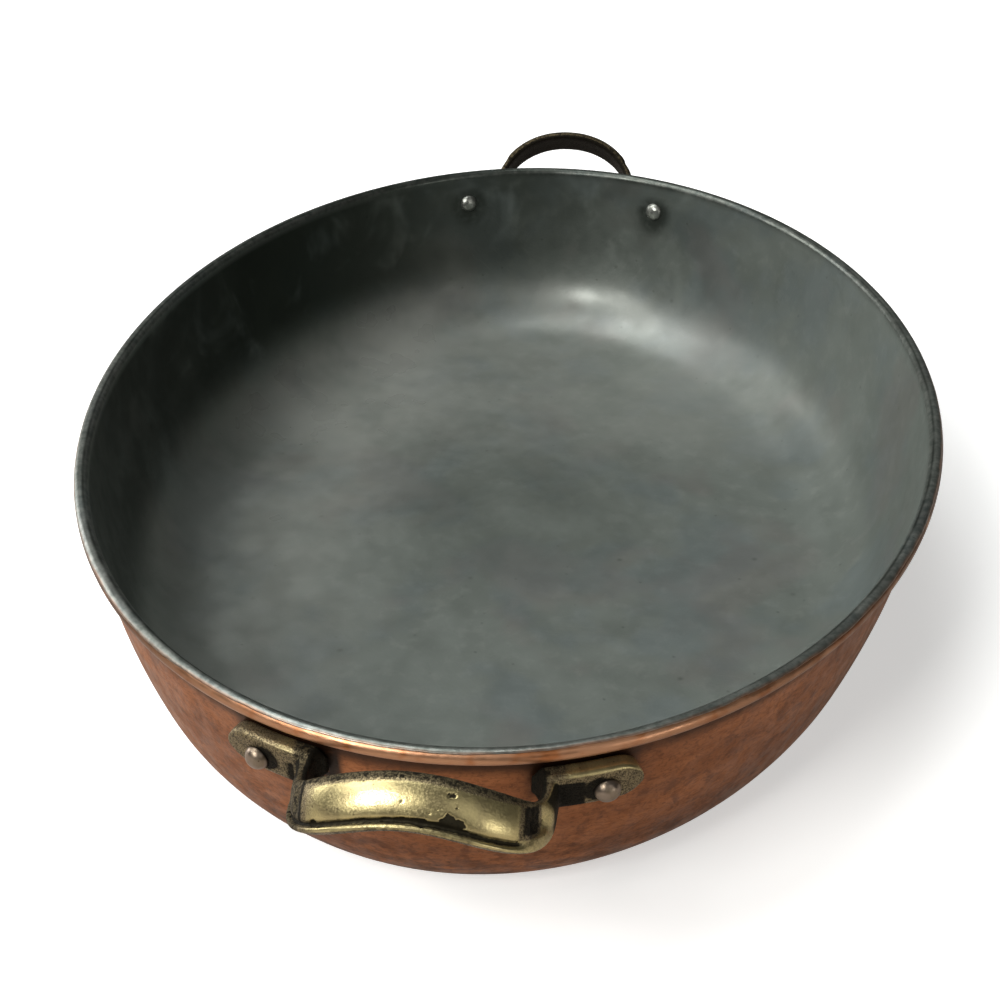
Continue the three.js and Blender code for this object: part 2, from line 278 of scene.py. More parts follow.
def hump(value, middle, width):
    """A smooth hump of 1 at its middle, given in millimetres."""
    return np.exp(-((value - middle * MM) / (width * MM)) ** 2)


def arc(centre, radius, start, end, steps):
    """Points on an arc of the section, both ends included."""
    turn = np.linspace(start, end, steps + 1)
    return np.stack([centre[0] + radius * np.cos(turn), centre[1] + radius * np.sin(turn)], -1)


# Shape of the pan


def oval_turns():
    return np.linspace(0, FULL_TURN, OVAL_STEPS, endpoint=False)


def all_round(points):
    """The same section at every turn of the oval."""
    return np.repeat(points[:, None, :], OVAL_STEPS, axis=1)


class PanShape:
    """The section of the pan. x is the inset from the widest outline of the rim, y the height."""

    def __init__(self, sizes):
        self.half_width = sizes.rim_width / 2
        self.half_length = sizes.rim_length / 2
        self.sheet = sizes.sheet
        self.lean = sizes.wall_lean
        self.bow = sizes.wall_bow
        self.corner = sizes.bottom_radius
        self.slit = sizes.roll_slit
        self.bore = sizes.wire / 2 + sizes.wire_clearance
        self.bead = self.bore + self.sheet
        self.bead_centre = np.array([self.bead, sizes.rim_height - self.bead])
        lean_in = np.array([math.cos(self.lean), math.sin(self.lean)])
        self.bow_centre = self.bead_centre + lean_in * (self.bore + self.bow)
        self.corner_slope = math.asin((self.bow_centre[1] - self.corner) / (self.bow - self.corner))
        corner_in = np.array([math.cos(self.corner_slope), math.sin(self.corner_slope)])
        self.corner_centre = self.bow_centre - corner_in * (self.bow - self.corner)

    def face(self, depth):
        """One face of the sheet, from the edge of the flat base up to the rim."""
        meet = math.pi + self.corner_slope
        corner = arc(self.corner_centre, self.corner - depth, 1.5 * math.pi, meet, CORNER_STEPS)
        wall = arc(self.bow_centre, self.bow - depth, meet, math.pi + self.lean, WALL_STEPS)
        return np.concatenate([corner, wall[1:-1]])

    def normal(self, turn):
        """The way out of the oval in plan."""
        across = self.half_length * np.cos(turn)
        along = self.half_width * np.sin(turn)
        size = np.hypot(across, along)
        return across / size, along / size

    def place(self, turn, inset, height):
        """A point of the oval: the rim's outline moved inwards along its normal."""
        out_x, out_y = self.normal(turn)
        x = self.half_width * np.cos(turn) - inset * out_x
        y = self.half_length * np.sin(turn) - inset * out_y
        return np.stack(np.broadcast_arrays(x, y, height), -1)

    def slope(self, height):
        """The wall's slope from upright at a height on its outer face."""
        return np.arcsin((self.bow_centre[1] - height) / self.bow)

    def wall(self, turn, height, stand_off):
        """A point standing off the wall's outer face, square to it."""
        slope = self.slope(height)
        inset = self.bow_centre[0] - (self.bow + stand_off) * np.cos(slope)
        return self.place(turn, inset, height - stand_off * np.sin(slope))

    def wall_normal(self, turn, height):
        out_x, out_y = self.normal(turn)
        slope = self.slope(height)
        return Vector((out_x * math.cos(slope), out_y * math.cos(slope), -math.sin(slope)))

    def front_turn(self, x, height):
        """The turn at the front end of the oval where the wall's outer face has the given x."""
        rounds = 12
        inset = self.wall(-math.pi / 2, height, 0)[1] + self.half_length
        turn = np.full(np.shape(x), -math.pi / 2)
        for _ in range(rounds):
            turn = -np.arccos((x + inset * self.normal(turn)[0]) / self.half_width)
        return turn


def unevenness(turn, level):
    """A slow unevenness between 0 and 1 of the hand-raised shell, round the oval and up the wall."""
    waves = [
        np.sin(count * turn + phase + climb * level) / count ** 0.75 for count, phase, climb in DENT_WAVES
    ]
    return np.clip(0.5 + sum(waves) / 3.2, 0, 1)


def round_the_oval(shape, points, turns, values):
    """A value that changes slowly round the oval. The right side is at 0 degrees, the front at -90."""
    turn = np.degrees(np.arctan2(points[:, 1] / shape.half_length, points[:, 0] / shape.half_width))
    return np.interp(turn, turns, values, period=360)


# Meshes


def mesh_object(name, points, faces):
    mesh = bpy.data.meshes.new(name)
    mesh.from_pydata(points.tolist(), [], faces)
    mesh.validate()
    mesh.shade_smooth()
    piece = bpy.data.objects.new(name, mesh)
    bpy.context.collection.objects.link(piece)
    return piece


def grid_faces(rows, columns, closed_rows=False):
    """Faces between rows of points that are closed loops of the given number of columns."""
    faces = []
    for i in range(rows if closed_rows else rows - 1):
        here = i * columns
        there = (i + 1) % rows * columns
        for j in range(columns):
            k = (j + 1) % columns
            faces.append((here + j, here + k, there + k, there + j))
    return faces


def capped_faces(rows, columns, flipped=False):
    """Faces over rows of points, with a fan at both ends to the two middle points that come last."""
    faces = grid_faces(rows, columns)
    first = rows * columns
    end = first - columns
    for j in range(columns):
        k = (j + 1) % columns
        faces += [(first, k, j), (first + 1, end + j, end + k)]
    return [face[::-1] for face in faces] if flipped else faces


def shell_object(name, shape, sections):
    """A dished shell, from the insets and heights of one closed run at every turn: up one face from
    the flat floor, over the rim, and down the other face. The wall gives way inwards by up to the
    dent, and rings fill the flat floor at both ends of the run."""
    turn = oval_turns()
    insets, heights = sections[..., 0], sections[..., 1]
    top = shape.bead_centre[1]
    fade = np.clip((top - heights) / DENT_FADE_TOP, 0, 1) * np.clip(heights / DENT_FADE_FOOT, 0, 1)
    run = shape.place(turn, insets + DENT * unevenness(turn, heights / top) * fade, heights)
    shares = np.linspace(0, 1, FLOOR_RINGS + 1)[1:-1]
    inwards = np.stack([shares, shares, np.ones_like(shares)], 1)[:, None, :]
    rows = np.concatenate([run[0] * inwards, run, run[-1] * inwards[::-1]])
    middles = run[[0, -1], 0] * np.array([0, 0, 1])
    points = np.concatenate([rows.reshape(-1, 3), middles])
    return mesh_object(name, points, capped_faces(len(rows), OVAL_STEPS, flipped=True))


def set_maps(piece, **maps):
    """Gives every point of the mesh values between 0 and 1 that the materials read."""
    for name, values in maps.items():
        attribute = piece.data.attributes.new(name, "FLOAT", "POINT")
        attribute.data.foreach_set("value", np.asarray(values, dtype=np.float32))


def mesh_arrays(mesh):
    points = np.empty(len(mesh.vertices) * 3)
    normals = np.empty(len(mesh.vertices) * 3)
    edges = np.empty(len(mesh.edges) * 2, dtype=np.int64)
    mesh.vertices.foreach_get("co", points)
    mesh.vertices.foreach_get("normal", normals)
    mesh.edges.foreach_get("vertices", edges)
    return points.reshape(-1, 3), normals.reshape(-1, 3), edges.reshape(-1, 2)


def spread(values, edges, rounds):
    """Averages values with their neighbours along the edges."""
    count = len(values)
    degree = np.bincount(edges.ravel(), minlength=count)[:, None]
    for _ in range(rounds):
        total = np.zeros_like(values)
        np.add.at(total, edges[:, 0], values[edges[:, 1]])
        np.add.at(total, edges[:, 1], values[edges[:, 0]])
        values = 0.5 * values + 0.5 * total / np.maximum(degree, 1)
    return values


# Handle


class HandleShape:
    """The front handle: a loop strap between two ears that lie on the wall."""

    def __init__(self, pan, sizes):
        self.pan = pan
        self.s = sizes
        self.seat = 0.3 * MM
        self.web = 2.6 * MM
        self.level = pan.bead_centre[1] + pan.bead - sizes.rivet_drop
        turn = pan.front_turn(np.array(sizes.loop_width / 2), self.level)
        self.root = pan.wall(turn, self.level, self.seat + sizes.ear_thickness / 2)

    def loop_point(self, share):
        """The strap's middle line, from the left ear at 0 to the right one at 1."""
        s = self.s
        power = 2 / s.loop_squareness
        turn = math.pi * share
        reach = self.root[1] + self.pan.half_length + s.loop_reach
        across = np.sign(np.cos(turn)) * np.abs(np.cos(turn)) ** power
        rise = s.loop_rise * np.maximum(0, 1 - across * across) ** s.loop_fullness
        x = -across * s.loop_width / 2
        y = self.root[1] - reach * np.maximum(np.sin(turn), 0) ** power
        z = self.root[2] + s.ear_lift + rise
        return np.stack(np.broadcast_arrays(x, y, z), -1)

    def even_shares(self, rows):
        """Shares of the middle line that lie equally far apart along it."""
        fine = np.linspace(0, 1, PATH_STEPS + 1)
        path = self.loop_point(fine)
        run = np.concatenate([[0], np.cumsum(np.linalg.norm(np.diff(path, axis=0), axis=1))])
        return np.interp(np.linspace(0, run[-1], rows), run, fine)

    def strap(self):
        """Rows of the strap's section, a crowned face over a groove and a lower lip."""
        s = self.s
        shares = self.even_shares(STRAP_ROWS)
        middle = self.loop_point(shares)
        step = 0.0005
        along = self.loop_point(np.minimum(1, shares + step)) - self.loop_point(np.maximum(0, shares - step))
        along /= np.linalg.norm(along, axis=1)[:, None]
        lean = np.array([0, math.sin(s.loop_tilt), math.cos(s.loop_tilt)])
        up = lean - along * (along @ lean)[:, None]
        up /= np.linalg.norm(up, axis=1)[:, None]
        out = np.cross(along, up)
        at_grip = ease(np.sin(math.pi * shares))
        free = ease(np.abs(middle[:, 1] - middle[0, 1]) / s.root_length)
        strap_height = s.arm_height + (s.grip_height - s.arm_height) * at_grip
        height = (s.ear_height - ROOT_SET_IN) * (1 - free) + strap_height * free
        thickness = s.ear_thickness * (1 - free) + s.grip_thickness * free
        rows = []
        for i in range(STRAP_ROWS):
            section = self.strap_section(height[i], thickness[i], free[i], middle[i, 0])
            rows.append(middle[i] + section[:, :1] * out[i] + section[:, 1:] * up[i])
        return np.array(rows)

    def pad(self, x):
        """How far the crowned pad stands up along the strap, from 0 at the knuckles to 1."""
        return band(x, *PAD)

    def creases(self, x):
        """The narrow crease at the pad's left end and the wide hollow at its right end, 0 to 1."""
        return hump(x, *CREASE), band(x, *HOLLOW)

    def collar(self, x):
        """The ridge that closes the hollow where the strap turns into its right arm, 0 to 1."""
        return band(x, *COLLAR)

    def strap_section(self, height, thickness, free, x):
        """A closed outline, x out of the loop and y up the strap, rounded from its corner points."""
        crease, hollow = self.creases(x)
        top = height / 2
        face = thickness / 2
        lip = self.s.lip * free
        ledge = -top + 1.9 * MM
        corner = ramp(x, 23.5, 2)
        groove = 0.9 * MM * free * (1 - corner)
        crown = 0.2 * MM + 1.0 * MM * self.pad(x) - 0.8 * MM * crease + 0.7 * MM * self.collar(x)
        foot = (crown + 0.7 * MM * hollow) * free
        crown = (crown - 1.5 * MM * hollow) * free
        outline = np.array([
            (-face, -top + 1.0 * MM),
            (-face * 0.7, -top),
            (0, -top - 0.05 * MM),
            (face * 0.8 + lip - 0.2 * MM, -top + 0.1 * MM),
            (face + lip - 0.2 * MM, -top + 0.8 * MM),
            (face + lip - 0.3 * MM, ledge - 0.4 * MM),
            (face - groove + 0.2 * MM + 0.6 * lip * corner, ledge - 0.05 * MM),
            (face - groove + 0.6 * foot * corner, ledge + 0.55 * MM),
            (face + 0.25 * foot + 0.4 * foot * corner, ledge + 1.1 * MM),
            (face + 0.85 * crown, -0.16 * top),
            (face + 0.85 * crown, 0.28 * top),
            (face + 0.30 * crown, top - 2.0 * MM),
            (face - 0.6 * MM, top - 0.6 * MM),
            (face * 0.3, top),
            (-face * 0.6, top - 0.05 * MM),
            (-face, top - 0.9 * MM),
            (-face + 0.25 * MM, 0.0),
        ])
        corner_cuts = 2
        for _ in range(corner_cuts):
            ahead = np.roll(outline, -1, axis=0)
            cut = [0.75 * outline + 0.25 * ahead, 0.25 * outline + 0.75 * ahead]
            outline = np.stack(cut, 1).reshape(-1, 2)
        return outline

    def facing(self, points, normals):
        """How far the skin faces out of the loop, or off the wall on the ears, from -1 to 1."""
        s = self.s
        reach = self.root[1] + self.pan.half_length + s.loop_reach
        power = s.loop_squareness - 1
        across = 2 * points[:, 0] / s.loop_width
        along = np.clip((self.root[1] - points[:, 1]) / reach, 0, None)
        x = np.sign(across) * np.abs(across) ** power / s.loop_width * 2
        y = along ** power / reach
        out = np.stack([x, -y * math.cos(s.loop_tilt), y * math.sin(s.loop_tilt)], 1)
        out_x, out_y = self.pan.normal(self.pan.front_turn(points[:, 0], self.level))
        wall = np.stack([out_x, out_y, np.zeros_like(out_x)], 1)
        on_ear = self.on_ear(points) > 0.5
        out[on_ear] = wall[on_ear]
        out /= np.maximum(np.linalg.norm(out, axis=1), 1e-9)[:, None]
        return (normals * out).sum(axis=1)

    def inner_face(self):
        """How far the inner face of an arm's root stands from the middle of the loop."""
        return (self.s.loop_width - self.s.ear_thickness) / 2

    def on_ear(self, points):
        edge = (self.s.loop_width + self.s.ear_thickness) / 2
        return ramp(np.abs(points[:, 0]) - edge, 0, 1.5)

    def up_strap(self, points):
        """How far points of the grip lie above the strap's middle line, measured up its face."""
        path = self.loop_point(self.even_shares(STRAP_ROWS))
        middle_y = np.interp(points[:, 0], path[:, 0], path[:, 1])
        middle_z = np.interp(points[:, 0], path[:, 0], path[:, 2])
        lean = self.s.loop_tilt
        return (points[:, 1] - middle_y) * math.sin(lean) + (points[:, 2] - middle_z) * math.cos(lean)

    def polish(self, points, normals, facing):
        """Where hands rub the casting bright, on the pad's face and a little on the lip, and painted light on
        the ears' upward faces, more on the right ear.
        """
        x = points[:, 0]
        up = self.up_strap(points)
        on_ear = self.on_ear(points)
        outwards = ease((facing - 0.2) / 0.5)
        face = ease((facing - 0.30) / 0.4) * ramp(up, 5.3, -1.6)
        pad = self.pad(x) * face * (0.4 + 0.6 * ramp(x, -25, 6))
        lip = (0.04 + 0.6 * ramp(x, 18, 5)) * ramp(up, -3.0, -0.6) * outwards
        collar = 0.7 * self.collar(x) * outwards
        # Painted light on the ears' upward faces, more on the right ear than on the left
        along = np.array([-46, -40, -33, 33, 38, 50]) * MM
        ear = np.interp(x, along, [0.1, 0.3, 0.65, 0.35, 0.95, 0.95]) * ease((normals[:, 2] - 0.15) / 0.4)
        return np.clip(np.maximum.reduce([pad, lip, collar]) * (1 - on_ear) + ear * on_ear, 0, 1)

    def edge_wear(self, points):
        """How much the edges are rubbed: most on the pad, little on the left of the lip and on the ears."""
        lip = ramp(self.up_strap(points), -3.2, -0.6) * ramp(points[:, 0], 19, -6)
        return (1 - 0.9 * lip) * (1 - 0.75 * self.on_ear(points))

    def dirt(self, points, facing):
        """Where the casting is dark: dirty creases, groove, left knuckle, top edge and rings round the
        rivets, and painted shade on the faces turned into the loop, the arms' outer sides, the lower lip, the
        webs inside the arms and the ears beside the arms.
        """
        x = points[:, 0]
        up = self.up_strap(points)
        on_ear = self.on_ear(points)
        behind = points[:, 1] - self.root[1]
        # Painted shade on the faces turned into the loop
        inner = ease((0.25 - facing) / 0.55)
        creased = self.crease_dirt(x, up) * ease((facing - 0.1) / 0.4)
        # Painted shade on the outer sides of the arms
        arm = 0.85 * ramp(behind, -15, 5) * ease((facing - 0.45) / 0.3)
        groove = 0.90 * hump(up, -4.5, 0.8) * band(x, *DIRTY_GROOVE)
        # Painted shade along the lower lip, short of both ends
        lip = 0.46 * ramp(up, -4.9, -0.5) * band(x, *DIRTY_LIP)
        knuckle = 0.58 * ramp(x, -26.0, -0.6)
        top = 0.58 * ramp(up, 4.6, 0.8)
        strap = np.maximum.reduce([inner, creased, arm, groove, lip, knuckle, top]) * (1 - on_ear)
        # Painted shadow of the arms on the webs inside them
        web = ramp(np.abs(x) - self.inner_face(), 0, -0.6) * ramp(behind, -7, 1)
        shade = band(x, *EAR_SHADE) * ramp(points[:, 2] - self.level, 4.6, -1.8)
        return np.clip(np.maximum.reduce([strap, self.ear_dirt(points) * on_ear, web, shade]), 0, 1)

    def crease_dirt(self, x, up):
        """Dirt in the pad's crease and in its hollow, where it is fainter at the top."""
        crease, hollow = self.creases(x)
        hollow = 0.75 * hollow * ramp(up, -2.9, 0.9) * (0.35 + 0.65 * ramp(up, 4.6, -0.8))
        return np.maximum(0.95 * crease * ramp(up, -4.9, 0.9), hollow)

    def ear_dirt(self, points):
        """Dirt and painted shade round the rivets, and low down where the ears meet the arms."""
        aside = np.abs(points[:, 0])
        rise = points[:, 2] - self.level
        away = np.hypot(aside - self.s.rivet_spacing / 2, rise)
        ring = 0.8 * fading(away - self.s.outer_head / 2, 0.9)
        corner = 1.1 * fading(np.abs(aside - self.s.loop_width / 2 - 4.0 * MM), 2.2)
        return np.maximum(ring, corner * ramp(rise, 3.5, -2.5))

    def flaw(self, points, noises):
        """Corroded flaws at the foot of the pad, with ragged borders, 0 to 1."""
        x = points[:, 0]
        up = self.up_strap(points)
        away = [
            np.hypot((x - along * MM) / (half_width * MM), (up - rise * MM) / (half_height * MM))
            for along, rise, half_width, half_height in (BLOW_HOLE, SEAM, NICK)
        ]
        return ease((1.0 + 0.55 * noises - np.minimum.reduce(away)) / 0.3)

    def ear(self, side):
        """Rows of one ear's section, from the thin web inside the loop to the rounded tip."""
        s = self.s
        radius = s.ear_height / 2
        start = self.inner_face() - self.web
        end = s.rivet_spacing / 2 + s.ear_tip
        turn = np.linspace(0, math.pi / 2, EAR_ROWS)[:-1]
        straight = np.linspace(start, end - radius, EAR_ROWS)[:-1]
        xs = np.concatenate([straight, end - radius + radius * np.sin(turn)])
        web = ease((xs - start) / self.web)
        halves = np.concatenate([np.full(len(straight), radius), radius * np.cos(turn)])
        halves = halves * (0.5 + 0.5 * web)
        tops = s.ear_thickness * (0.3 + 0.7 * web ** 2)
        rows = np.array([self.ear_row(side * x, half, top) for x, half, top in zip(xs, halves, tops)])
        return rows if side > 0 else rows[::-1]

    def ear_row(self, x, half, top):
        """One section of an ear, laid on the wall: half its height, and how far it stands out."""
        s = self.s
        edge = min(1.5 * MM, half * 0.6, top * 0.6)
        foot = min(0.6 * MM, half * 0.4)
        outline = np.array([
            (-half, foot), (-half, top - edge), (-half + edge * 0.3, top - edge * 0.3), (-half + edge, top),
            (half - edge, top), (half - edge * 0.3, top - edge * 0.3), (half, top - edge), (half, foot),
            (half - foot, 0), (-half + foot, 0),
        ])
        turn = self.pan.front_turn(np.array(x), self.level)
        return np.array([
            self.pan.wall(turn, self.level + s.ear_lift + rise, self.seat + out) for rise, out in outline
        ])


def lofted(rows):
    """Points and faces of a closed skin over rows of points."""
    count, size = rows.shape[:2]
    points = np.concatenate([rows.reshape(-1, 3), rows[[0, -1]].mean(axis=1)])
    return points, capped_faces(count, size, flipped=True)


def merged(parts):
    """Joins several lots of points and faces into one."""
    points = []
    faces = []
    count = 0
    for part_points, part_faces in parts:
        points.append(part_points)
        faces.extend(tuple(index + count for index in face) for face in part_faces)
        count += len(part_points)
    return np.concatenate(points), faces


def fused_mesh(piece):
    """Fuses the overlapping skins of a casting into one and softens where they meet."""
    fuse = piece.modifiers.new("Fuse", "REMESH")
    fuse.mode = "VOXEL"
    fuse.voxel_size = VOXEL
    soften = piece.modifiers.new("Soften", "SMOOTH")
    soften.factor = 0.5
    soften.iterations = 4
    graph = bpy.context.evaluated_depsgraph_get()
    mesh = bpy.data.meshes.new_from_object(piece.evaluated_get(graph))
    piece.modifiers.clear()
    old = piece.data
    piece.data = mesh
    bpy.data.meshes.remove(old)
    mesh.shade_smooth()


def fractal(point, scale, octaves, seed):
    """Layered noise about 0, between -1 and 1 for most points."""
    total = 0.0
    weight = 1.0
    where = Vector(point) * scale + Vector((seed, 2.3 * seed, -1.7 * seed))
    for _ in range(octaves):
        total += weight * noise.noise(where)
        where = where * 2.03
        weight *= 0.5
    return total


def age_casting(piece, handle, sign, seed):
    """Wears the casting: pits and corroded patches in its skin, and maps of rubbed brightness with painted
    light, of wear, and of dirty darkening with painted shade.
    """
    points, normals, edges = mesh_arrays(piece.data)
    to_front = np.array([sign, sign, 1])
    local = points * to_front
    facing = handle.facing(local, normals * to_front)
    bulge = ((points - spread(points, edges, 10)) * normals).sum(axis=1)
    wear = np.clip(bulge / SHARP_EDGE, 0, 1) * handle.edge_wear(local)
    hollow = np.clip(-bulge / DEEP_HOLLOW, 0, 1)
    polish = handle.polish(local, normals * to_front, facing)

    def noises(scale, octaves, apart):
        return np.array([fractal(point, scale, octaves, seed + apart) for point in points])

    rough = noises(420, 3, 0)
    patch = noises(95, 3, 5)
    fine = noises(1300, 2, 9)
    slow = noises(60, 2, 2)
    near_groove = np.clip(spread(hollow[:, None], edges, 14)[:, 0] * 3.0, 0, 1)
    pits = ease((rough + 0.55 * patch - 0.95 + 0.45 * near_groove) / 0.22)
    if sign > 0:
        pits = np.maximum(pits, handle.flaw(local, rough) * ease(facing / 0.4))
    depth = PIT_DEPTH * pits + GRAIN_DEPTH * np.clip(fine + 0.4, 0, 1) * (1 - 0.8 * polish)
    depth += SWELL_DEPTH * np.clip(0.5 + slow, 0, 1)
    points -= normals * depth[:, None]
    piece.data.vertices.foreach_set("co", points.ravel())
    piece.data.update()
    dirt = np.maximum.reduce([handle.dirt(local, facing), 0.95 * hollow, 0.9 * pits])
    if sign < 0:
        dirt = np.maximum(dirt, REAR_DIRT)
    set_maps(piece, wear=wear, polish=polish, grime=dirt)


# Materials


class Nodes:
    """Short calls for the nodes of a shader tree. Their inputs are plain values or other nodes' outputs."""

    def __init__(self, tree, where=None):
        self.tree = tree
        self.where = where

    def add(self, kind, inputs=None, **settings):
        """Adds a node and gives its outputs."""
        count = len(self.tree.nodes)
        node = self.tree.nodes.new(kind)
        node.location = (count % NODE_COLUMNS * NODE_WIDTH, -(count // NODE_COLUMNS) * NODE_HEIGHT)
        for name, value in settings.items():
            setattr(node, name, value)
        for name, value in (inputs or {}).items():
            self.give(node.inputs[name], value)
        return node.outputs

    def give(self, socket, value):
        if isinstance(value, bpy.types.NodeSocket):
            self.tree.links.new(value, socket)
        else:
            socket.default_value = value

    def math(self, operation, first, second=0.0, clamp=False):
        return self.add("ShaderNodeMath", {0: first, 1: second}, operation=operation, use_clamp=clamp)[0]

    def times(self, first, second, clamp=False):
        return self.math("MULTIPLY", first, second, clamp)

    def rest(self, mask):
        """What a mask leaves out."""
        return self.math("SUBTRACT", 1.0, mask)

    def range(self, value, from_min, from_max, to_min=0.0, to_max=1.0, smooth=True):
        return self.add(
            "ShaderNodeMapRange",
            {"Value": value, "From Min": from_min, "From Max": from_max, "To Min": to_min, "To Max": to_max},
            interpolation_type="SMOOTHSTEP" if smooth else "LINEAR",
        )["Result"]

    def between(self, mask, low, high, full=1.0):
        """A value that goes evenly from low to high as the mask goes from 0 to full."""
        return self.range(mask, 0.0, full, low, high, smooth=False)

    def mapped(self, **settings):
        """The place, moved, turned and scaled."""
        return self.add("ShaderNodeMapping", {"Vector": self.where, **settings})[0]

    def noise(self, scale, detail=0.0, where=None, **settings):
        inputs = {"Vector": where or self.where, "Scale": scale, "Detail": detail, **settings}
        return self.add("ShaderNodeTexNoise", inputs)["Fac"]


def mask_group(name, fill, settings):
    """A shader group that makes a mask. It is built once, with the first settings as its defaults."""
    if name in bpy.data.node_groups:
        return bpy.data.node_groups[name]
    tree = bpy.data.node_groups.new(name, "ShaderNodeTree")
    tree.interface.new_socket("Vector", in_out="INPUT", socket_type="NodeSocketVector")
    for label, default in settings.items():
        kind = "NodeSocketFloat" if isinstance(default, float) else "NodeSocketVector"
        tree.interface.new_socket(label, in_out="INPUT", socket_type=kind).default_value = default
    tree.interface.new_socket("Mask", in_out="OUTPUT", socket_type="NodeSocketFloat")
    given = tree.nodes.new("NodeGroupInput").outputs
    mask = fill(Nodes(tree, given["Vector"]), given)
    tree.links.new(mask, tree.nodes.new("NodeGroupOutput").inputs["Mask"])
    return tree


def soft_patches(nodes, given, where=None):
    """Soft patches of layered noise."""
    cloud = nodes.noise(given["Scale"], given["Detail"], where, Roughness=0.6)
    return nodes.range(cloud, given["From"], given["To"])


def wandering_patches(nodes, given):
    """Soft patches whose borders are bent, which take longer to render."""
    swirl = nodes.add("ShaderNodeTexNoise", {"Vector": nodes.where, "Scale": given["Scale"], "Detail": 0.0})
    shift = {0: swirl["Color"], 1: (0.5, 0.5, 0.5)}
    shift = nodes.add("ShaderNodeVectorMath", shift, operation="SUBTRACT")[0]
    shift = nodes.add("ShaderNodeVectorMath", {0: shift, "Scale": given["Wander"]}, operation="SCALE")[0]
    bent = nodes.add("ShaderNodeVectorMath", {0: nodes.where, 1: shift}, operation="ADD")[0]
    return soft_patches(nodes, given, bent)


def scattered_pits(nodes, given):
    """Scattered small round pits, in the given share of the cells."""
    cells = nodes.add("ShaderNodeTexVoronoi", {"Vector": nodes.where, "Scale": given["Scale"]})
    near = nodes.range(cells["Distance"], given["Size"], 0.0)
    pick = nodes.add("ShaderNodeSeparateColor", {"Color": cells["Color"]})[0]
    return nodes.times(near, nodes.math("LESS_THAN", pick, given["Share"]))


def fine_scratches(nodes, given):
    """Fine scratches that run along one turned direction and fade in and out."""
    scale = {"X": given["Along"], "Y": given["Across"], "Z": given["Along"]}
    scale = nodes.add("ShaderNodeCombineXYZ", scale)[0]
    lines = nodes.noise(1.0, 1.0, nodes.mapped(Rotation=given["Turn"], Scale=scale))
    off = nodes.math("ABSOLUTE", nodes.math("SUBTRACT", lines, 0.5))
    thin = nodes.range(off, given["Share"], 0.0, smooth=False)
    return nodes.times(thin, nodes.range(nodes.noise(45.0, 3.0), 0.52, 0.66))


class Finish(Nodes):
    """A material under construction. Coats are laid over its first colour."""

    def __init__(self, name, colour):
        self.colour = colour
        self.material = bpy.data.materials.new(name)
        self.material.use_nodes = True
        super().__init__(self.material.node_tree)
        self.tree.nodes.clear()
        self.surface = self.tree.nodes.new("ShaderNodeBsdfPrincipled")
        self.add("ShaderNodeOutputMaterial", {"Surface": self.surface.outputs[0]})
        self.where = self.add("ShaderNodeTexCoord")["Object"]
        self.height = self.add("ShaderNodeSeparateXYZ", {"Vector": self.where})["Z"]

    def group(self, name, fill, settings, where=None):
        """The mask of a shader group at a place, with settings named for its sockets."""
        inputs = {"Vector": where or self.where, **settings}
        return self.add("ShaderNodeGroup", inputs, node_tree=mask_group(name, fill, settings))["Mask"]

    def patches(self, scale, low, high, detail=2.0, wander=0.0, where=None):
        """A mask of soft patches, with borders that are bent by up to half the wander, in metres."""
        settings = {"Scale": scale, "Detail": detail, "From": low, "To": high}
        if wander:
            return self.group("Wandering patches", wandering_patches, {**settings, "Wander": wander}, where)
        return self.group("Soft patches", soft_patches, settings, where)

    def pits(self, scale, size, share):
        return self.group("Scattered pits", scattered_pits, {"Scale": scale, "Size": size, "Share": share})

    def scratches(self, turn, across, along, share):
        settings = {"Turn": turn, "Across": across, "Along": along, "Share": share}
        return self.group("Fine scratches", fine_scratches, settings)

    def attribute(self, name):
        return self.add("ShaderNodeAttribute", attribute_name=name)["Fac"]

    def mix(self, mask, first, second):
        """Mixes two colours. A plain colour is given as three numbers."""
        inputs = {}
        for socket, value in ((6, first), (7, second)):
            inputs[socket] = value if isinstance(value, bpy.types.NodeSocket) else (*value, 1.0)
        return self.add("ShaderNodeMix", {0: mask, **inputs}, data_type="RGBA")[2]

    def coat(self, mask, share, colour):
        """Lays a colour over what is there, up to the given share where the mask is full."""
        self.colour = self.mix(mask if share == 1 else self.times(mask, share), self.colour, colour)

    def bump(self, height, distance, strength=1.0, normal=None):
        """Relief of the given depth in metres, on top of other relief."""
        inputs = {"Height": height, "Distance": distance, "Strength": strength}
        if normal is not None:
            inputs["Normal"] = normal
        return self.add("ShaderNodeBump", inputs)["Normal"]

    def done(self, roughness, metallic=0.0, normal=None):
        """Ties what was worked out to the surface."""
        inputs = {"Base Color": self.colour, "Roughness": roughness, "Metallic": metallic}
        if normal is not None:
            inputs["Normal"] = normal
        for name, value in inputs.items():
            self.give(self.surface.inputs[name], value)
        return self.material


